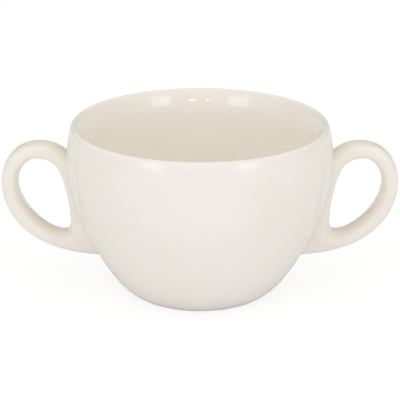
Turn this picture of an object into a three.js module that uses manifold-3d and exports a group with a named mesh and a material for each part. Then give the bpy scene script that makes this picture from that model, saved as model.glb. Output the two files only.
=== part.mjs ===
import * as THREE from "three";
import { mergeVertices } from "three/addons/utils/BufferGeometryUtils.js";
import Module from "manifold-3d";

// A two-handled soup cup of thick glazed porcelain, in millimetres with +Z up.
// The origin lies on the cup's axis, on the plane that the foot ring stands on.

// Bowl, outside
const cupHeight = 67.8;
const wallRadius = 51.8; // at the widest ring
const shoulderDrop = 15.6; // rim down to the widest ring
const footRadius = 27.3;
const footAngle = 23.8; // degrees above level at which the belly leaves the foot
const bellyLowRun = 11.2; // how far the belly keeps the foot's angle
const bellyHighRun = 16.3; // how far it stays upright under the widest ring

// Bowl, lip and inside: the lip is tight outside and slopes in gently inside
const lipLean = 1.2; // how far the wall leans in from the widest ring to the lip
const lipAngle = 12.5; // degrees off upright where the lip's rounding starts
const lipDepth = 2.45; // height of that rounding
const crestInset = 3.05; // widest ring in to the crest of the lip
const wallThickness = 6.5; // at the widest ring
const insideDrop = 13.6; // rim down to where the inside stands upright
const floorHeight = 7.0; // foot plane up to the inside floor
const floorFlatRadius = 10.0;
const innerWallRun = 20.0; // how far the inside stays upright below that

// Foot ring, left unglazed where it stands
const footRingWidth = 3.6;
const recessDepth = 2.4;
const recessFlankWidth = 2.6;

// Handles, each a closed ring whose strap lies along the wall
const handleReach = 26.0; // widest ring out to the outside of the bow
const barThickness = 6.27; // at the bow, seen from the front
const barDepth = 12.0; // front to back
const squareness = 2.8; // power of the section: 2 is an ellipse, more is boxier
const crownDrop = 8.04; // rim down to the top of the bar
const crownReach = 10.9; // widest ring out to the top of the bar
const crownThickness = 5.7;
const holeCrownShift = 1.15; // top of the finger hole, outwards from the top of the bar
const undersideHeight = 13.7; // foot plane up to the bar's lower root
const heelThickness = 9.3; // underside up to the floor of the finger hole
const heelReach = 8.65; // wall out to the lowest point of the finger hole
const upperRootDrop = 15.5; // rim down to where the top of the bar ends inside the wall
const upperRootAngle = 22.4; // degrees above level
const strapUpper = 3.3; // strap's thickness off the wall near its top
const strapLower = 4.85; // and near its foot
const strapLean = 20.7; // degrees off upright at the top of the strap
const flareDepth = 4.5; // how much the bar deepens where it meets the wall
const flareRun = 14.0; // distance from the wall over which it does

// Joints: each handle is stuck on with a film of casting slip
const slipThickness = 0.4;
const slipBead = 1.0; // squeezed-out edge round the root of the handle
const seatGap = 0.3; // between neighbouring solids

// Shares that place points along a stretch, from 0 to 1
const bowShare = 0.65; // from the underside up to the crown
const strapTopShare = 0.835; // from the floor of the finger hole up to its top
const strapFootShare = 0.178;
const heelShare = 0.25; // part of the lower sweep that lies under the heel
const buriedShare = 0.6; // part of the wall that the uncut handle runs into

// Fullness of each curve at its start and its end
const fullness = {
  upperWall: [0.5, 0.5],
  lipOutside: [0.52, 0.55],
  lipInside: [0.45, 0.65],
  innerFloor: 0.8,
  outerBow: [0.66, 0.56],
  outerCrown: [0.555, 0.185],
  lowerSweep: [0.747, 0.45],
  holeBow: [0.448, 0.503],
  holeCrown: [0.52, 0.48],
  holeStrap: [0.375, 0.294],
  holeCorner: [0.97, 0.54],
  holeSweep: [0.277, 0.542],
};

// Facets
const turnSteps = 64;
const ringSteps = 20;

// Finishes: ivory glaze, and the duller slip at the joints
const glazeColour = 0xece6da;
const glazeRoughness = 0.12;
const slipColour = 0xe4dccd;
const slipRoughness = 0.35;

const wasm = await Module();
wasm.setup();

const { degToRad, lerp, mapLinear, clamp } = THREE.MathUtils;
const point = (x, y) => new THREE.Vector2(x, y);
const shifted = (from, x, y) => point(from.x + x, from.y + y);
const wayAt = (degrees) => point(Math.cos(degToRad(degrees)), Math.sin(degToRad(degrees)));
const level = point(1, 0);
const upright = point(0, 1);

// A curve from start to end that leaves and arrives along the given ways
function sweep(start, startWay, end, endWay, [startFull, endFull]) {
  const span = end.clone().sub(start);
  const leave = startWay.clone().multiplyScalar(startFull * span.dot(startWay));
  const arrive = endWay.clone().multiplyScalar(endFull * span.dot(endWay));
  return new THREE.CubicBezierCurve(start, start.clone().add(leave), end.clone().sub(arrive), end);
}

// Runs of points end to end, without the doubled point where two runs meet
function joined(...runs) {
  return runs.flatMap((run, i) => (i === 0 ? run : run.slice(1)));
}

// Outside of the bowl in section: belly, upper wall and the outer half of the lip
const widestHeight = cupHeight - shoulderDrop;
const footEdge = point(footRadius, 0);
const widest = point(wallRadius, widestHeight);
const lipEdge = point(wallRadius - lipLean, cupHeight - lipDepth);
const crest = point(wallRadius - crestInset, cupHeight);
const footWay = wayAt(footAngle).multiplyScalar(bellyLowRun);
const lipWay = wayAt(90 + lipAngle);
const belly = new THREE.CubicBezierCurve(
  footEdge,
  footEdge.clone().add(footWay),
  shifted(widest, 0, -bellyHighRun),
  widest,
);
const upperWall = sweep(widest, upright, lipEdge, lipWay, fullness.upperWall);
const lipOutside = sweep(lipEdge, lipWay, crest, level, fullness.lipOutside);
const outside = joined(belly.getPoints(15), upperWall.getPoints(4), lipOutside.getPoints(5));

// Inside of the bowl, from the lip's crest down to the middle of the floor
const innerRadius = wallRadius - wallThickness;
const innerWidest = point(innerRadius, cupHeight - insideDrop);
const floorEdge = point(floorFlatRadius, floorHeight);
const lipInside = sweep(crest, level, innerWidest, upright, fullness.lipInside);
const innerBelly = new THREE.CubicBezierCurve(
  innerWidest,
  shifted(innerWidest, 0, -innerWallRun),
  shifted(floorEdge, fullness.innerFloor * (innerRadius - floorFlatRadius), 0),
  floorEdge,
);
const inside = joined(lipInside.getPoints(8), innerBelly.getPoints(12), [floorEdge, point(0, floorHeight)]);

// Underside: a shallow recess within the foot ring
const ringInner = point(footRadius - footRingWidth, 0);
const recessEdge = shifted(ringInner, -recessFlankWidth, recessDepth);
const recessFlank = new THREE.QuadraticBezierCurve(
  recessEdge,
  shifted(recessEdge, recessFlankWidth / 2, 0),
  ringInner,
);
const underside = [point(0, recessDepth), ...recessFlank.getPoints(4), footEdge];

// A section turned about the upright axis
function turned(section) {
  return new THREE.LatheGeometry(section, turnSteps).rotateX(Math.PI / 2);
}

// The outside of the bowl moved out square to itself, filled up to the axis
function filledBowl(clearance) {
  const grown = outside.map((at, i) => {
    const before = outside[Math.max(i - 1, 0)];
    const after = outside[Math.min(i + 1, outside.length - 1)];
    const along = after.clone().sub(before).normalize();
    return shifted(at, clearance * along.y, -clearance * along.x);
  });
  const [bottom, top] = [grown[0], grown.at(-1)];
  return turned([point(0, bottom.y), ...grown, point(0, top.y)]);
}

// Radius of the bowl's outside at a height
function wallAt(height) {
  const i = outside.findIndex((at) => at.y > height);
  const [low, high] = [outside[i - 1], outside[i]];
  return mapLinear(height, low.y, high.y, low.x, high.x);
}

// Outside edge of the right handle: x outwards along the two handles, y upwards
const crownHeight = cupHeight - crownDrop;
const buried = (height) => point(wallAt(height) - buriedShare * wallThickness, height);
const bow = point(wallRadius + handleReach, lerp(undersideHeight, crownHeight, bowShare));
const crown = point(wallRadius + crownReach, crownHeight);
const upperRoot = buried(cupHeight - upperRootDrop);
const lowerRoot = buried(undersideHeight);
const midRoot = buried((upperRoot.y + lowerRoot.y) / 2);
const outerBow = sweep(bow, upright, crown, level, fullness.outerBow);
const outerCrown = sweep(crown, level, upperRoot, wayAt(upperRootAngle), fullness.outerCrown);
const lowerSweep = sweep(lowerRoot, level, bow, upright, fullness.lowerSweep);
const upperBuried = new THREE.LineCurve(upperRoot, midRoot);
const lowerBuried = new THREE.LineCurve(midRoot, lowerRoot);

// Edge of the finger hole: a teardrop, round at the crown and tight at the heel
const holeFloor = undersideHeight + heelThickness;
const holeTop = crownHeight - crownThickness;
const offWall = (thickness, height) => point(wallAt(height) + thickness, height);
const strapTop = offWall(strapUpper, lerp(holeFloor, holeTop, strapTopShare));
const strapFoot = offWall(strapLower, lerp(holeFloor, holeTop, strapFootShare));
const strapWay = wayAt(90 - strapLean);
const heel = point(wallAt(strapFoot.y) + heelReach, holeFloor);
const holeBow = shifted(bow, -barThickness, 0);
const holeCrown = point(crown.x + holeCrownShift, holeTop);
const holeOuter = sweep(holeBow, upright, holeCrown, level, fullness.holeBow);
const holeUpper = sweep(holeCrown, level, strapTop, strapWay, fullness.holeCrown);
const holeStrap = sweep(strapTop, strapWay, strapFoot, upright, fullness.holeStrap);
const holeCorner = sweep(strapFoot, upright, heel, level, fullness.holeCorner);
const holeLower = sweep(heel, level, holeBow, upright, fullness.holeSweep);

// Stretches of the ring, each pairing the outside edge with the edge of the hole
const underHeel = (t) =>
  t < 0.5 ? lowerBuried.getPoint(2 * t) : lowerSweep.getPoint((2 * t - 1) * heelShare);
const stretches = [
  { steps: 9, outer: (t) => outerBow.getPoint(t), hole: holeOuter },
  { steps: 9, outer: (t) => outerCrown.getPoint(t), hole: holeUpper },
  { steps: 8, outer: (t) => upperBuried.getPoint(t), hole: holeStrap },
  { steps: 8, outer: underHeel, hole: holeCorner },
  { steps: 12, outer: (t) => lowerSweep.getPoint(lerp(heelShare, 1, t)), hole: holeLower },
];

// Across and along a squarish oval at a turn, each from -1 to 1
function squarish(turn) {
  const eased = (wave) => Math.sign(wave) * Math.abs(wave) ** (2 / squareness);
  return [eased(Math.cos(turn)), eased(Math.sin(turn))];
}

// The handle before it is cut to the wall: squarish ovals carried round the finger hole
function handleRing(growth) {
  const sections = stretches.flatMap(({ steps, outer, hole }) =>
    Array.from({ length: steps }, (_, i) => [outer(i / steps), hole.getPoint(i / steps)]),
  );
  const positions = [];
  for (const [outerAt, holeAt] of sections) {
    const middle = outerAt.clone().add(holeAt).divideScalar(2);
    const half = outerAt.clone().sub(middle);
    half.setLength(half.length() + growth);
    const nearness = clamp(1 - (middle.x - wallAt(middle.y)) / flareRun, 0, 1);
    const halfDepth = (barDepth + flareDepth * nearness ** 2) / 2 + growth;
    for (let j = 0; j < ringSteps; j += 1) {
      const [across, along] = squarish((2 * Math.PI * j) / ringSteps);
      const at = shifted(middle, half.x * across, half.y * across);
      positions.push(at.x, halfDepth * along, at.y);
    }
  }
  const indices = [];
  for (let i = 0; i < sections.length; i += 1) {
    const next = (i + 1) % sections.length;
    for (let j = 0; j < ringSteps; j += 1) {
      const across = (j + 1) % ringSteps;
      const [a, b] = [i * ringSteps + j, i * ringSteps + across];
      const [c, d] = [next * ringSteps + across, next * ringSteps + j];
      indices.push(a, b, c, a, c, d);
    }
  }
  const ring = new THREE.BufferGeometry();
  ring.setAttribute("position", new THREE.Float32BufferAttribute(positions, 3));
  ring.setIndex(indices);
  return ring;
}

// A closed geometry as a solid that can be cut and joined
function solidOf(geometry) {
  geometry.deleteAttribute("normal");
  geometry.deleteAttribute("uv");
  const merged = mergeVertices(geometry);
  const corners = merged.index.array;
  const triVerts = [];
  for (let i = 0; i < corners.length; i += 3) {
    const [a, b, c] = corners.subarray(i, i + 3);
    if (a !== b && b !== c && c !== a) {
      triVerts.push(a, b, c);
    }
  }
  const vertProperties = merged.attributes.position.array;
  return new wasm.Manifold(new wasm.Mesh({ numProp: 3, vertProperties, triVerts: new Uint32Array(triVerts) }));
}

function geometryOf(solid) {
  const { vertProperties, triVerts } = solid.getMesh();
  const geometry = new THREE.BufferGeometry();
  geometry.setAttribute("position", new THREE.BufferAttribute(vertProperties, 3));
  geometry.setIndex(new THREE.BufferAttribute(triVerts, 1));
  geometry.computeVertexNormals();
  return geometry;
}

function piece(name, geometry, colour, roughness) {
  const material = new THREE.MeshStandardMaterial({ color: colour, roughness, metalness: 0 });
  const mesh = new THREE.Mesh(geometry, material);
  mesh.name = name;
  return mesh;
}

// The slip fills a thin shell just off the wall, and the handle starts just off the slip
const slipInside = solidOf(filledBowl(seatGap));
const slipOutside = solidOf(filledBowl(seatGap + slipThickness));
const handleSeat = solidOf(filledBowl(2 * seatGap + slipThickness));
const handle = geometryOf(solidOf(handleRing(0)).subtract(handleSeat));
const slip = geometryOf(solidOf(handleRing(slipBead)).intersect(slipOutside).subtract(slipInside));

const cup = new THREE.Group();
cup.add(piece("bowl", turned(joined(underside, outside, inside)), glazeColour, glazeRoughness));
for (const [side, turn] of [["right", 0], ["left", Math.PI]]) {
  const half = new THREE.Group();
  half.rotation.z = turn;
  half.add(piece(`handle_${side}`, handle.clone(), glazeColour, glazeRoughness));
  half.add(piece(`slip_joint_${side}`, slip.clone(), slipColour, slipRoughness));
  cup.add(half);
}

export default cup;
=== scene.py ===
import math

import bpy
import numpy as np
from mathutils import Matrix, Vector


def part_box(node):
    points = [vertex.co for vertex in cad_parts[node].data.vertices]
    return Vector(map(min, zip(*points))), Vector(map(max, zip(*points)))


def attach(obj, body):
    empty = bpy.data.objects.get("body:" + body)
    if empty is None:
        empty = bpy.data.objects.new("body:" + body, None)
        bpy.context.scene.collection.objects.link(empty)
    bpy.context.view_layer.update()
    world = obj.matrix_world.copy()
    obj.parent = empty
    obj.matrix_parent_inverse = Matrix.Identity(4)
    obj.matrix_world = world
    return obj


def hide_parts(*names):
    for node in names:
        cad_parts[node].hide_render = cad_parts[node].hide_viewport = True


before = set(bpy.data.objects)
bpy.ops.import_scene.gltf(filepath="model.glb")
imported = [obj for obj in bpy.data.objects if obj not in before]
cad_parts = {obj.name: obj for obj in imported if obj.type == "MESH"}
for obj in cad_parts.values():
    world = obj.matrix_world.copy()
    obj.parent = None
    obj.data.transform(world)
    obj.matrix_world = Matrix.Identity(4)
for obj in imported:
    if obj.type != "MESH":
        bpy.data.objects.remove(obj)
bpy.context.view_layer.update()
print("frame loaded,", len(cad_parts), "nodes")

mm = 0.001  # the shapes below are worked out in millimetres
bowlHigh = np.array(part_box("bowl")[1]) / mm
handleHigh = np.array(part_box("handle_right")[1]) / mm
cupHeight = bowlHigh[2]
wallRadius = bowlHigh[0]
handleReach = handleHigh[0] - wallRadius

level = np.array([1.0, 0.0])
upright = np.array([0.0, 1.0])


def wayAt(degrees):
    # unit step in the upright plane, at an angle above level
    return np.array([math.cos(math.radians(degrees)), math.sin(math.radians(degrees))])


def cubic(a, b, c, d, t):
    # cubic Bezier: the four points weighted by the Bernstein terms of t
    t = np.asarray(t)[:, None]
    s = 1 - t
    return s**3 * a + 3 * s**2 * t * b + 3 * s * t**2 * c + t**3 * d


def sweep(start, startWay, end, endWay, fullness, t):
    # cubic that leaves start and reaches end along given ways, each arm a share of the span's run
    start, end = np.asarray(start, float), np.asarray(end, float)
    span = end - start
    leave = startWay * fullness[0] * (span @ startWay)
    arrive = endWay * fullness[1] * (span @ endWay)
    return cubic(start, start + leave, end - arrive, end, t)


def line(start, end, t):
    # straight run: start plus a share t of the span
    start, end = np.asarray(start, float), np.asarray(end, float)
    return start + np.asarray(t)[:, None] * (end - start)


def joined(*runs):
    # runs end to end, without the doubled point where two of them meet
    return np.concatenate([runs[0]] + [run[1:] for run in runs[1:]])


def steps(count):
    # shares from 0 to 1 that are equally far apart
    return np.linspace(0, 1, count + 1)


def addPiece(name, points, faces, nodes):
    # a smooth-shaded mesh in metres that stands for CAD nodes and rides on the one body
    mesh = bpy.data.meshes.new(name)
    mesh.from_pydata((points * mm).tolist(), [], faces)
    mesh.polygons.foreach_set("use_smooth", np.ones(len(mesh.polygons), bool))
    mesh.update()
    piece = bpy.data.objects.new(name, mesh)
    bpy.context.scene.collection.objects.link(piece)
    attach(piece, "root")
    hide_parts(*nodes)
    return piece


def addMark(piece, name, values):
    # a number at each vertex, for a finish that follows the shape
    mark = piece.data.attributes.new(name, "FLOAT", "POINT")
    mark.data.foreach_set("value", np.asarray(values, np.float32).ravel())


# Bowl: one section turned about the upright axis
bowl = {
    "shoulderDrop": 15.6,  # rim down to the widest ring
    "footRadius": 27.3,
    "footAngle": 23.8,  # degrees above level at which the belly leaves the foot
    "bellyLowRun": 11.2,
    "bellyHighRun": 16.3,
    "lipLean": 1.2,
    "lipAngle": 12.5,  # degrees off upright where the lip's rounding starts
    "lipDepth": 2.45,
    "crestInset": 3.05,
    "crestRounding": 1.2,  # radius on the inside of the crest
    "lipSlope": 27.0,  # degrees off upright just inside the crest
    "wallThickness": 6.5,
    "insideDrop": 13.6,
    "floorHeight": 7.0,
    "floorFlatRadius": 10.0,
    "innerWallRun": 20.0,
    "innerFloor": 0.8,
    "footRingWidth": 3.6,
    "recessDepth": 2.4,
    "recessFlankWidth": 2.6,
    "footRounding": 0.8,
    "wallFullness": (0.5, 0.5),  # of the upper wall's curve and the lip's, at their start and their end
    "lipFullness": (0.52, 0.55),
    "paintedLightFade": 1.5,  # depth over which the lip's tone becomes the lighter painted-light tone of the inside
    "wipedEdge": 0.5,  # width over which the glaze comes in beside the bare ring
    "turns": 288,
    "bellySteps": 64,  # points along each stretch of the section
    "wallSteps": 20,
    "lipSteps": 16,
    "crestSteps": 10,
    "slopeSteps": 26,
    "insideSteps": 48,
    "flatSteps": 8,
    "edgeSteps": 6,
}


def cornerRound(before, corner, after, size, t):
    # quadratic curve that cuts a corner, size away from it along both legs
    a = corner + size * (before - corner) / np.linalg.norm(before - corner)
    b = corner + size * (after - corner) / np.linalg.norm(after - corner)
    t = np.asarray(t)[:, None]
    return (1 - t) ** 2 * a + 2 * t * (1 - t) * corner + t**2 * b


def outsideSection(b):
    # belly, upper wall and the outer half of the lip, from the foot's edge to the crest
    foot = np.array([b["footRadius"], 0.0])
    widest = np.array([wallRadius, cupHeight - b["shoulderDrop"]])
    lipEdge = np.array([wallRadius - b["lipLean"], cupHeight - b["lipDepth"]])
    crest = np.array([wallRadius - b["crestInset"], cupHeight])
    lipWay = wayAt(90 + b["lipAngle"])
    belly = cubic(foot, foot + b["bellyLowRun"] * wayAt(b["footAngle"]),
                  widest - b["bellyHighRun"] * upright, widest, steps(b["bellySteps"]))
    upperWall = sweep(widest, upright, lipEdge, lipWay, b["wallFullness"], steps(b["wallSteps"]))
    lip = sweep(lipEdge, lipWay, crest, level, b["lipFullness"], steps(b["lipSteps"]))
    return joined(belly, upperWall, lip)


def insideSection(b):
    # a round crest, a lip that eases from its slope to upright by a power of the depth, and the bowl
    crest = np.array([wallRadius - b["crestInset"], cupHeight])
    innerRadius = wallRadius - b["wallThickness"]
    turn = np.radians(np.linspace(0, 90 - b["lipSlope"], b["crestSteps"] + 1))
    radius = b["crestRounding"]
    rounding = crest + radius * np.stack([-np.sin(turn), np.cos(turn) - 1], 1)
    start = rounding[-1]
    drop = b["insideDrop"] - (cupHeight - start[1])
    rise = start[0] - innerRadius
    power = math.tan(math.radians(b["lipSlope"])) * drop / rise
    u = steps(b["slopeSteps"])
    slope = np.stack([innerRadius + rise * (1 - u) ** power, start[1] - drop * u], 1)
    floorEdge = np.array([b["floorFlatRadius"], b["floorHeight"]])
    bend = floorEdge + b["innerFloor"] * (innerRadius - floorEdge[0]) * level
    under = slope[-1] - b["innerWallRun"] * upright
    body = cubic(slope[-1], under, bend, floorEdge, steps(b["insideSteps"]))
    floor = line(floorEdge, [0.0, b["floorHeight"]], steps(b["flatSteps"]))
    return joined(rounding, slope, body, floor)


def undersideSection(b):
    # shallow recess, its flank and the flat foot ring with both of its edges rounded
    inner = np.array([b["footRadius"] - b["footRingWidth"], 0.0])
    foot = np.array([b["footRadius"], 0.0])
    edge = inner + np.array([-b["recessFlankWidth"], b["recessDepth"]])
    size, t = b["footRounding"], steps(b["edgeSteps"])
    recess = line([0.0, b["recessDepth"]], edge - 2 * size * level, steps(b["flatSteps"]))
    upper = cornerRound(recess[-1], edge, inner, size, t)
    lower = cornerRound(edge, inner, foot, size, t)
    outer = cornerRound(inner, foot, foot + wayAt(b["footAngle"]), size, t)
    ring = line(lower[-1], outer[0], t)
    return joined(recess, np.vstack([recess[-1], upper]), np.vstack([upper[-1], lower]), ring, outer)


def turnedGrid(section, turns):
    # a ring of points for each step of the section: radius times cosine and sine of the turn, at its height
    angle = 2 * math.pi * np.arange(turns) / turns
    ring = section[1:-1]
    x = ring[:, :1] * np.cos(angle)
    y = ring[:, :1] * np.sin(angle)
    z = np.broadcast_to(ring[:, 1:], x.shape)
    grid = np.stack([x, y, z], -1).reshape(-1, 3)
    poles = np.array([[0, 0, section[0, 1]], [0, 0, section[-1, 1]]])
    return np.vstack([grid, poles])


def turnedFaces(rings, turns):
    # quads between neighbouring rings, and a fan of triangles at each pole
    i, j = np.meshgrid(np.arange(rings - 1), np.arange(turns), indexing="ij")
    k = (j + 1) % turns
    quads = np.stack([i * turns + j, i * turns + k, (i + 1) * turns + k, (i + 1) * turns + j], -1)
    j = np.arange(turns)
    k = (j + 1) % turns
    first, last = rings * turns, rings * turns + 1
    under = np.stack([np.full(turns, first), k, j], -1)
    top = (rings - 1) * turns
    over = np.stack([np.full(turns, last), top + j, top + k], -1)
    return quads.reshape(-1, 4).tolist() + under.tolist() + over.tolist()


def bareFoot(section, b):
    # 1 on the ring it stands on and half a wiped edge past it, then falling to 0 over one wiped edge
    radius, height = section.T
    beside = np.maximum(b["footRadius"] - b["footRingWidth"] - radius, radius - b["footRadius"])
    away = np.hypot(np.maximum(beside, 0), height) / b["wipedEdge"]
    return np.clip(1.5 - away, 0, 1)


def paintedLightInsideShare(section, crestAt, b):
    # painted light: where the lighter copy of the glaze inside the bowl comes in; 0 up to the crest, then the
    # depth below it as a share of the fade's depth, up to 1
    share = np.clip((cupHeight - section[:, 1]) / b["paintedLightFade"], 0, 1)
    return np.where(np.arange(len(section)) < crestAt, 0, share)


def turnedMark(values, turns):
    # the value of each ring for all of its points, then those of the two poles
    return np.concatenate([np.repeat(values[1:-1], turns), values[[0, -1]]])


outside = outsideSection(bowl)
underside = undersideSection(bowl)
rounded = outside[outside[:, 0] > underside[-1, 0]]
below = np.vstack([underside, rounded])
section = joined(below, insideSection(bowl))
bowlPiece = addPiece("porcelain_bowl", turnedGrid(section, bowl["turns"]),
                     turnedFaces(len(section) - 2, bowl["turns"]), ["bowl"])
addMark(bowlPiece, "bare", turnedMark(bareFoot(section, bowl), bowl["turns"]))
# share of the painted lighter tone inside the bowl
addMark(bowlPiece, "inside", turnedMark(paintedLightInsideShare(section, len(below), bowl), bowl["turns"]))
print("bowl turned,", len(section), "rings")


# Handles: a squarish oval section carried round the finger hole, seated on the wall
handle = {
    "barThickness": 6.27,
    "barDepth": 12.0,
    "squareness": 2.8,  # power of the section: 2 is an ellipse, more is boxier
    "crownDrop": 8.04,  # rim down to the top of the bar
    "crownReach": 10.9,
    "crownThickness": 5.7,
    "holeCrownShift": 1.15,
    "undersideHeight": 13.7,
    "heelThickness": 9.3,
    "heelReach": 8.65,
    "upperRootDrop": 15.5,
    "upperRootAngle": 22.4,
    "strapUpper": 3.3,
    "strapLower": 4.85,
    "strapLean": 20.7,
    "buried": 3.9,  # how far the uncut ring runs into the wall
    "flareDepth": 4.5,
    "flareRun": 14.0,
    "bowShare": 0.65,
    "strapTopShare": 0.835,
    "strapFootShare": 0.178,
    "heelShare": 0.25,
    "outerBow": (0.66, 0.56),  # fullness of each curve at its start and its end
    "outerCrown": (0.555, 0.185),
    "lowerSweep": (0.747, 0.45),
    "holeBow": (0.448, 0.503),
    "holeCrown": (0.52, 0.48),
    "holeStrap": (0.375, 0.294),
    "holeCorner": (0.97, 0.54),
    "holeSweep": (0.277, 0.542),
    "easing": 0.8,  # length over which neighbouring stretches flow into each other
    "seatSink": 0.15,  # how far the seat lies under the wall's surface
    "curveSteps": 200,
    "stations": 420,
    "around": 96,
}

wallZ, wallR = outside[:, 1], outside[:, 0]
wallSlope = np.gradient(wallR, wallZ)


def wallAt(height):
    # radius of the bowl's outside at a height, in a straight run between the points of its section
    return np.interp(height, wallZ, wallR)


def offWall(points):
    # distance of points from the bowl's outside, square to the wall: radial gap times cosine of its slope
    radius = np.hypot(points[..., 0], points[..., 1])
    slope = np.interp(points[..., 2], wallZ, wallSlope)
    return (radius - wallAt(points[..., 2])) / np.sqrt(1 + slope**2)


def eased(edge, length, stepLength):
    # a closed run blurred by a bell curve of the given length, as a product of Fourier terms
    wave = 2 * math.pi * np.fft.rfftfreq(len(edge), stepLength)
    bell = np.exp(-0.5 * (wave * length) ** 2)[:, None]
    return np.fft.irfft(np.fft.rfft(edge, axis=0) * bell, len(edge), axis=0)


def handleEdges(h):
    # outer edge and finger-hole edge in the upright plane, five pairs of curves that go once round the bar
    crownHeight = cupHeight - h["crownDrop"]
    buried = lambda height: np.array([wallAt(height) - h["buried"], height])
    bow = np.array([wallRadius + handleReach,
                    h["undersideHeight"] + h["bowShare"] * (crownHeight - h["undersideHeight"])])
    crown = np.array([wallRadius + h["crownReach"], crownHeight])
    upperRoot = buried(cupHeight - h["upperRootDrop"])
    lowerRoot = buried(h["undersideHeight"])
    midRoot = buried((upperRoot[1] + lowerRoot[1]) / 2)
    holeFloor = h["undersideHeight"] + h["heelThickness"]
    holeTop = crownHeight - h["crownThickness"]
    topHeight = holeFloor + h["strapTopShare"] * (holeTop - holeFloor)
    footHeight = holeFloor + h["strapFootShare"] * (holeTop - holeFloor)
    strapTop = np.array([wallAt(topHeight) + h["strapUpper"], topHeight])
    strapFoot = np.array([wallAt(footHeight) + h["strapLower"], footHeight])
    strapWay = wayAt(90 - h["strapLean"])
    heel = np.array([wallAt(footHeight) + h["heelReach"], holeFloor])
    holeBow = bow - h["barThickness"] * level
    holeCrown = np.array([crown[0] + h["holeCrownShift"], holeTop])
    t = steps(h["curveSteps"])[:-1]
    lowerSweep = lambda share: sweep(lowerRoot, level, bow, upright, h["lowerSweep"], share)
    half = len(t) // 2
    under = np.vstack([line(midRoot, lowerRoot, 2 * t[:half]),
                       lowerSweep(h["heelShare"] * (2 * t[half:] - 1))])
    outer = [
        sweep(crown, level, upperRoot, wayAt(h["upperRootAngle"]), h["outerCrown"], t),
        line(upperRoot, midRoot, t),
        under,
        lowerSweep(h["heelShare"] + (1 - h["heelShare"]) * t),
        sweep(bow, upright, crown, level, h["outerBow"], t),
    ]
    hole = [
        sweep(holeCrown, level, strapTop, strapWay, h["holeCrown"], t),
        sweep(strapTop, strapWay, strapFoot, upright, h["holeStrap"], t),
        sweep(strapFoot, upright, heel, level, h["holeCorner"], t),
        sweep(heel, level, holeBow, upright, h["holeSweep"], t),
        sweep(holeBow, upright, holeCrown, level, h["holeBow"], t),
    ]
    return np.vstack(outer), np.vstack(hole)


def evenly(outer, hole, count):
    # both edges at stations that are equally far apart along the middle of the bar
    middle = (outer + hole) / 2
    gaps = np.linalg.norm(np.roll(middle, -1, 0) - middle, axis=1)
    along = np.concatenate([[0], np.cumsum(gaps)])
    at = along[-1] * np.arange(count) / count
    pick = lambda edge: np.stack([np.interp(at, along, np.append(edge[:, k], edge[0, k])) for k in (0, 1)], 1)
    return pick(outer), pick(hole), along[-1] / count


outerEdge, holeEdge, stationGap = evenly(*handleEdges(handle), handle["stations"])
outerEdge = eased(outerEdge, handle["easing"], stationGap)
holeEdge = eased(holeEdge, handle["easing"], stationGap)


def squared(wave, h):
    # superellipse: the cosine or sine raised to 2 over the section's power, with its sign kept
    return np.sign(wave) * np.abs(wave) ** (2 / h["squareness"])


def barAt(station, turn, growth, h):
    # squarish oval about the middle of the two edges: cosine of the turn across the bar, sine along its depth
    at = np.arange(len(outerEdge))
    pick = lambda edge: np.stack([np.interp(station, at, edge[:, k]) for k in (0, 1)], -1)
    outer, hole = pick(outerEdge), pick(holeEdge)
    middle, across = (outer + hole) / 2, (outer - hole) / 2
    across = across * (1 + growth / np.linalg.norm(across, axis=-1, keepdims=True))
    near = np.clip(1 - (middle[..., 0] - wallAt(middle[..., 1])) / h["flareRun"], 0, 1)
    halfDepth = (h["barDepth"] + h["flareDepth"] * near**2) / 2 + growth
    flat = middle + across * squared(np.cos(turn), h)[..., None]
    return np.stack([flat[..., 0], halfDepth * squared(np.sin(turn), h), flat[..., 1]], -1)


def seated(points, sink):
    # whatever lies inside the wall is drawn out along its radius to just under the wall's surface
    short = np.minimum(offWall(points) + sink, 0)
    slope = np.interp(points[..., 2], wallZ, wallSlope)
    radius = np.hypot(points[..., 0], points[..., 1])
    grow = 1 - short * np.sqrt(1 + slope**2) / radius
    return points * np.stack([grow, grow, np.ones_like(grow)], -1)


def loopFaces(rows, columns):
    # quads of a grid that closes on itself both ways
    i, j = np.meshgrid(np.arange(rows), np.arange(columns), indexing="ij")
    p, q = (i + 1) % rows, (j + 1) % columns
    quads = np.stack([i * columns + j, i * columns + q, p * columns + q, p * columns + j], -1)
    return quads.reshape(-1, 4).tolist()


turnSteps = 2 * math.pi * np.arange(handle["around"]) / handle["around"]
stationGrid, turnGrid = np.meshgrid(np.arange(handle["stations"]), turnSteps, indexing="ij")
bar = barAt(stationGrid, turnGrid, 0.0, handle)
barPoints = seated(bar, handle["seatSink"]).reshape(-1, 3)
halfTurn = np.array([-1.0, -1.0, 1.0])  # the left side is the right one turned round the upright axis
handlePieces = {}
for side, turned in (("right", np.ones(3)), ("left", halfTurn)):
    handlePieces[side] = addPiece("loop_handle_" + side, barPoints * turned,
                                  loopFaces(handle["stations"], handle["around"]),
                                  ["handle_" + side])
print("handles carried round,", handle["stations"], "stations")


# Roots: the slip that joins handle and wall, wiped to a hollow curve all round the seat
root = {
    "wallReach": 2.4,  # from the corner out along the wall
    "barReach": 1.4,  # and along the bar
    "wallDip": 0.012,  # how far its thin edges run under the faces they meet
    "barDip": 0.03,
    "sink": 0.3,  # depth of its hidden back
    "round": 200,  # points from the top of the seat down one side
    "rows": 14,
    "ends": 200,  # parts of a station tried for the seat's top and foot
    "tries": 900,  # turns tried for where a section leaves the wall
}


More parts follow.
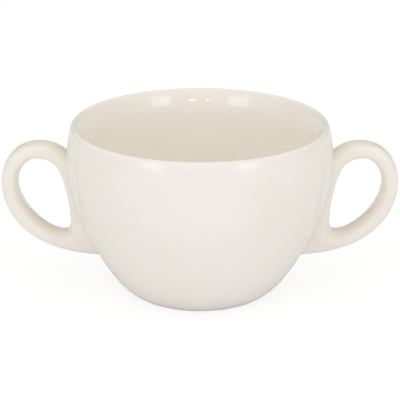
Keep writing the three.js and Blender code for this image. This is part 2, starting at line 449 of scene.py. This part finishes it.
def seatLine(distance, growth, r, h):
    # closed line on the bar, grown by growth, that lies the given distance off the wall
    station = np.arange(h["stations"])
    inside = offWall(barAt(station, np.zeros(len(station)), growth, h)) < distance
    top = np.argmax(inside)
    foot = len(station) - 1 - np.argmax(inside[::-1])
    gap = lambda s: offWall(barAt(s, np.zeros(len(s)), growth, h)) - distance
    fine = np.linspace(0, 1, r["ends"])
    topAt = top - 1 + fine[np.argmax(gap(top - 1 + fine) < 0)]
    footAt = foot + fine[np.argmax(gap(foot + fine) > 0)]
    share = (1 - np.cos(math.pi * steps(r["round"]))) / 2
    at = topAt + (footAt - topAt) * share
    turn = np.linspace(0, math.pi, r["tries"])
    stations, turns = np.meshgrid(at, turn, indexing="ij")
    clear = offWall(barAt(stations, turns, growth, h)) - distance
    first = np.maximum(np.argmax(clear > 0, axis=1), 1)
    row = np.arange(len(at))
    low, high = clear[row, first - 1], clear[row, first]
    part = np.clip(-low / (high - low), 0, 1)
    crossing = turn[first - 1] + part * (turn[first] - turn[first - 1])
    crossing[[0, -1]] = 0
    near = barAt(at, crossing, growth, h)
    far = near[-2:0:-1] * np.array([1.0, -1.0, 1.0])
    return np.concatenate([near, far])


def rootGrid(r, h):
    # hollow curve: the wall's end weighted by the cube of what is left, the bar's end by the cube of t
    # and the corner by the rest, over a hidden back
    onWall = seatLine(-r["wallDip"], r["wallReach"], r, h)
    corner = seatLine(-r["wallDip"], -r["barDip"], r, h)
    onBar = seatLine(r["barReach"], -r["barDip"], r, h)
    t = steps(r["rows"])[:, None, None]
    hollow = (1 - t) ** 3 * onWall + 3 * t * (1 - t) * corner + t**3 * onBar
    inWall = seatLine(-r["sink"], r["wallReach"], r, h)
    inBar = seatLine(r["barReach"], -r["sink"], r, h)
    core = seatLine(-r["sink"], -r["sink"], r, h)
    return np.concatenate([inWall[None], hollow, inBar[None], core[None]])


def pooledAndShaded(share):
    # painted shade in the corner between handle and wall, over glaze that pools there: share times the square
    # of what is left, scaled so that its peak, a third of the way along, is 1
    return 27 / 4 * share * (1 - share) ** 2


rootPoints = rootGrid(root, handle)
towardBar = np.concatenate([[0], steps(root["rows"]), [1, 0]])  # share of the way from wall to bar, by row
rootPieces = {}
for side, turned in (("right", np.ones(3)), ("left", halfTurn)):
    rootPieces[side] = addPiece("wiped_root_" + side, rootPoints.reshape(-1, 3) * turned,
                                loopFaces(*rootPoints.shape[:2]), ["slip_joint_" + side])
    addMark(rootPieces[side], "towardBar", np.repeat(towardBar, rootPoints.shape[1]))
    # mark for painted shade in the corner at the joint, over glaze that pools there
    addMark(rootPieces[side], "pooledAndShaded", np.repeat(pooledAndShaded(towardBar), rootPoints.shape[1]))
print("roots wiped,", rootPoints.shape[1], "points round each seat")


# Finishes: the glaze outside, a lighter copy of it inside that is painted light, the glaze on the handles,
# painted shade with glaze that pools at the roots, and the bare clay
glaze = {
    "bowl": {"light": (0.945, 0.905, 0.835), "deep": (0.93, 0.88, 0.795), "roughness": (0.12, 0.17)},
    # inside the bowl a lighter copy of the same glaze: painted light for the brighter interior
    "inside": {"light": (0.965, 0.925, 0.858), "deep": (0.95, 0.90, 0.815), "roughness": (0.07, 0.11)},
    "handle": {"light": (0.95, 0.90, 0.815), "deep": (0.93, 0.868, 0.768), "roughness": (0.09, 0.14)},
    # deeper tone at the joint: glaze that pools there, darkened further as painted shade for the corner
    # between handle and wall
    "poolAndShade": {"light": (0.90, 0.858, 0.782), "deep": (0.88, 0.833, 0.748), "roughness": (0.09, 0.14)},
    "clay": {"light": (0.80, 0.76, 0.68), "deep": (0.74, 0.69, 0.60), "roughness": (0.65, 0.85),
             "grain": 0.03},
    "cloudSize": 28.0,  # millimetres from one warm patch to the next
    "peelSize": 5.0,
    "peelHeight": 0.004,
    "grainSize": 0.35,
    "cloudDetail": 3.0,
    "peelDetail": 1.0,
    "grainDetail": 2.0,
    "noiseRoughness": 0.55,
    "toneStops": (0.3, 0.7),  # where in the clouds the deep and the light tone are full
    "ior": 1.5,
}


def node(tree, kind, **values):
    # a new shader node with the values of its inputs
    made = tree.nodes.new("ShaderNode" + kind)
    for name, value in values.items():
        made.inputs[name.replace("_", " ")].default_value = value
    return made


def reckon(tree, operation, first, second):
    # one sum on two sockets or numbers
    made = node(tree, "Math")
    made.operation = operation
    for socket, value in zip(made.inputs, (first, second)):
        if isinstance(value, (int, float)):
            socket.default_value = value
        else:
            tree.links.new(value, socket)
    return made.outputs[0]


def coat(tree, cloud, tones, stops):
    # colour from deep to light and gloss from low to high, both by the clouds
    tone = node(tree, "ValToRGB")
    for stop, place, shade in zip(tone.color_ramp.elements, stops, ("deep", "light")):
        stop.position = place
        stop.color = (*tones[shade], 1)
    gloss = node(tree, "MapRange", To_Min=tones["roughness"][0], To_Max=tones["roughness"][1])
    tree.links.new(cloud, tone.inputs["Fac"])
    tree.links.new(cloud, gloss.inputs["Value"])
    return tone.outputs["Color"], gloss.outputs["Result"]


def finish(name, g, main, *layers):
    # cloudy glaze with a faint orange peel, over which each layer comes in by its mark on the vertices
    material = bpy.data.materials.new(name)
    material.use_nodes = True
    tree = material.node_tree
    link = tree.links.new
    shader = tree.nodes["Principled BSDF"]
    shader.inputs["IOR"].default_value = g["ior"]
    place = node(tree, "TexCoord").outputs["Object"]

    def noise(size, detail):
        # noise over the piece, its scale one over the size of a patch
        made = node(tree, "TexNoise", Scale=1 / (size * mm), Detail=detail, Roughness=g["noiseRoughness"])
        link(place, made.inputs["Vector"])
        return made.outputs["Fac"]

    cloud = noise(g["cloudSize"], g["cloudDetail"])
    colour, gloss = coat(tree, cloud, g[main], g["toneStops"])
    height = reckon(tree, "MULTIPLY", noise(g["peelSize"], g["peelDetail"]), g["peelHeight"])
    for other, mark in layers:
        share = node(tree, "Attribute")
        share.attribute_name = mark
        share = share.outputs["Fac"]
        blend, even = node(tree, "MixRGB"), node(tree, "MapRange")
        otherColour, otherGloss = coat(tree, cloud, g[other], g["toneStops"])
        for source, socket in ((share, blend.inputs["Fac"]), (share, even.inputs["Value"]),
                               (colour, blend.inputs["Color1"]), (otherColour, blend.inputs["Color2"]),
                               (gloss, even.inputs["To Min"]), (otherGloss, even.inputs["To Max"])):
            link(source, socket)
        colour, gloss = blend.outputs["Color"], even.outputs["Result"]
        if "grain" in g[other]:
            speckle = noise(g["grainSize"], g["grainDetail"])
            grain = reckon(tree, "MULTIPLY", speckle, g[other]["grain"])
            height = reckon(tree, "ADD", height, reckon(tree, "MULTIPLY", grain, share))
    bump = node(tree, "Bump", Strength=1.0, Distance=mm)
    link(height, bump.inputs["Height"])
    link(bump.outputs["Normal"], shader.inputs["Normal"])
    link(colour, shader.inputs["Base Color"])
    link(gloss, shader.inputs["Roughness"])
    return material


# the bowl's glaze turns to its lighter painted-light copy below the crest inside, and to bare clay on the
# foot ring
bowlPiece.data.materials.append(finish("ivory glaze", glaze, "bowl", ("inside", "inside"), ("clay", "bare")))
handleGlaze = finish("ivory glaze on the handles", glaze, "handle")
# over the slip: the bowl's tone turning to the handle's, with painted shade and glaze that pools in the
# corner between
rootGlaze = finish("ivory glaze over slip", glaze, "bowl", ("handle", "towardBar"), ("poolAndShade", "pooledAndShaded"))
for side in handlePieces:
    handlePieces[side].data.materials.append(handleGlaze)
    rootPieces[side].data.materials.append(rootGlaze)
print("finishes set")


# Stage: pale floor, white surround, two softboxes and two small lamps
stage = {
    "floorHalf": 3.0,  # metres, as are the distance and sizes of the lights
    "floorDrop": 0.05,  # millimetres under the foot ring, so that the two faces don't coincide
    "floorColour": 0.92,
    "floorSeen": 0.25,  # part of the floor's shading that the camera sees, the rest is plain white
    "floorGlow": 0.8,
    "floorGloss": 0.05,  # how far the floor and the surround turn white for glossy rays
    "skyGloss": 0.05,
    "skyEven": 0.485,  # strength of the surround's own light: all round, added overhead, taken off behind
    "skyOver": 0.60,
    "skyRear": -0.28,
    "skyColour": (1.0, 0.995, 0.955),
    "boxAzimuth": 40.0,
    "boxElevation": 15.0,
    "boxDistance": 1.2,
    "boxSize": (0.42, 0.48),
    "boxPower": 1.45,
    "boxColour": (0.985, 1.0, 1.3),
    "lampAzimuth": 8.0,
    "lampSize": 0.07,
    "lampPower": 0.14,
    "lampColour": (1.0, 0.97, 0.92),
}


def seenDirectly(tree, gloss):
    # 1 for camera and transmission rays, gloss for glossy ones, 0 for the light that falls on the object
    path = node(tree, "LightPath").outputs
    clear = reckon(tree, "MAXIMUM", path["Is Camera Ray"], path["Is Transmission Ray"])
    return reckon(tree, "MAXIMUM", clear, reckon(tree, "MULTIPLY", path["Is Glossy Ray"], gloss))


def addFloor(s):
    # a square just under the foot ring: a pale surface to the light, mostly a white glow to the camera
    half, low = s["floorHalf"], -s["floorDrop"] * mm
    corners = [(-half, -half, low), (half, -half, low), (half, half, low), (-half, half, low)]
    mesh = bpy.data.meshes.new("floor")
    mesh.from_pydata(corners, [], [(0, 1, 2, 3)])
    floor = bpy.data.objects.new("floor", mesh)
    bpy.context.scene.collection.objects.link(floor)
    material = bpy.data.materials.new("pale floor")
    material.use_nodes = True
    tree = material.node_tree
    tree.nodes.clear()
    seen = seenDirectly(tree, s["floorGloss"])
    shade = node(tree, "MapRange", To_Min=s["floorColour"], To_Max=s["floorSeen"])
    glow = node(tree, "MapRange", To_Min=0.0, To_Max=s["floorGlow"])
    tree.links.new(seen, shade.inputs["Value"])
    tree.links.new(seen, glow.inputs["Value"])
    diffuse = node(tree, "BsdfDiffuse")
    tree.links.new(shade.outputs["Result"], diffuse.inputs["Color"])
    emission = node(tree, "Emission")
    tree.links.new(glow.outputs["Result"], emission.inputs["Strength"])
    both = node(tree, "AddShader")
    tree.links.new(diffuse.outputs[0], both.inputs[0])
    tree.links.new(emission.outputs[0], both.inputs[1])
    out = node(tree, "OutputMaterial")
    tree.links.new(both.outputs[0], out.inputs["Surface"])
    floor.data.materials.append(material)


def addWorld(s):
    # light by direction: an even part, one that grows with height and one that falls off to the rear
    world = bpy.data.worlds.new("white surround")
    world.use_nodes = True
    tree = world.node_tree
    way = node(tree, "SeparateXYZ")
    tree.links.new(node(tree, "TexCoord").outputs["Generated"], way.inputs[0])
    over = reckon(tree, "MULTIPLY", reckon(tree, "MAXIMUM", way.outputs["Z"], 0.0), s["skyOver"])
    rear = reckon(tree, "MULTIPLY", reckon(tree, "MAXIMUM", way.outputs["Y"], 0.0), s["skyRear"])
    light = reckon(tree, "ADD", reckon(tree, "ADD", over, rear), s["skyEven"])
    seen = seenDirectly(tree, s["skyGloss"])
    strength = node(tree, "MapRange", To_Max=1.0)
    tree.links.new(seen, strength.inputs["Value"])
    tree.links.new(light, strength.inputs["To Min"])
    tint = node(tree, "ValToRGB")
    tint.color_ramp.elements[0].color = (*s["skyColour"], 1)
    tint.color_ramp.elements[1].color = (1, 1, 1, 1)
    tree.links.new(seen, tint.inputs["Fac"])
    background = tree.nodes["Background"]
    tree.links.new(tint.outputs["Color"], background.inputs["Color"])
    tree.links.new(strength.outputs["Result"], background.inputs["Strength"])
    bpy.context.scene.world = world


def addLight(name, azimuth, elevation, distance, size, power, colour):
    # an area light that faces the middle of the rim from its distance, azimuth from the camera's side
    a, e = math.radians(azimuth), math.radians(elevation)
    target = Vector((0, 0, cupHeight * mm))
    way = Vector((math.sin(a) * math.cos(e), -math.cos(a) * math.cos(e), math.sin(e)))
    data = bpy.data.lights.new(name, "AREA")
    data.shape = "RECTANGLE"
    data.size, data.size_y = size
    data.energy = power
    data.color = colour
    light = bpy.data.objects.new(name, data)
    light.location = target + distance * way
    light.rotation_mode = "QUATERNION"
    light.rotation_quaternion = way.to_track_quat("Z", "Y")
    bpy.context.scene.collection.objects.link(light)
    return light


addFloor(stage)
addWorld(stage)
for sign, side in ((-1, "left"), (1, "right")):
    addLight("softbox_" + side, sign * stage["boxAzimuth"], stage["boxElevation"], stage["boxDistance"],
             stage["boxSize"], stage["boxPower"], stage["boxColour"])
    lamp = addLight("lamp_" + side, sign * stage["lampAzimuth"], stage["boxElevation"], stage["boxDistance"],
                    (stage["lampSize"], stage["lampSize"]), stage["lampPower"], stage["lampColour"])
    lamp.visible_diffuse = False  # these two only glint
print("stage lit")


# Camera, from the photograph: a lens worked out for a square frame, the frame's middle looking at a point on
# the cup's axis
view = {
    "elevation": 19.96,
    "distance": 600.0,
    "targetHeight": 35.72,
    "pixelsPerMm": 2.53,
    "frame": 400,
    "sensor": 36.0,
    "clip": (0.01, 50.0),  # metres
}


def addCamera(v):
    # back from its target along the elevation, with the lens that gives the pixels per millimetre there
    e = math.radians(v["elevation"])
    back = Vector((0, -math.cos(e), math.sin(e)))
    data = bpy.data.cameras.new("camera")
    data.sensor_width = v["sensor"]
    data.lens = v["sensor"] * v["pixelsPerMm"] * v["distance"] / v["frame"]
    data.clip_start, data.clip_end = v["clip"]
    camera = bpy.data.objects.new("camera", data)
    camera.location = Vector((0, 0, v["targetHeight"] * mm)) + back * v["distance"] * mm
    camera.rotation_mode = "QUATERNION"
    camera.rotation_quaternion = back.to_track_quat("Z", "Y")
    bpy.context.scene.collection.objects.link(camera)
    bpy.context.scene.camera = camera


addCamera(view)
bpy.context.scene.view_settings.view_transform = "Standard"
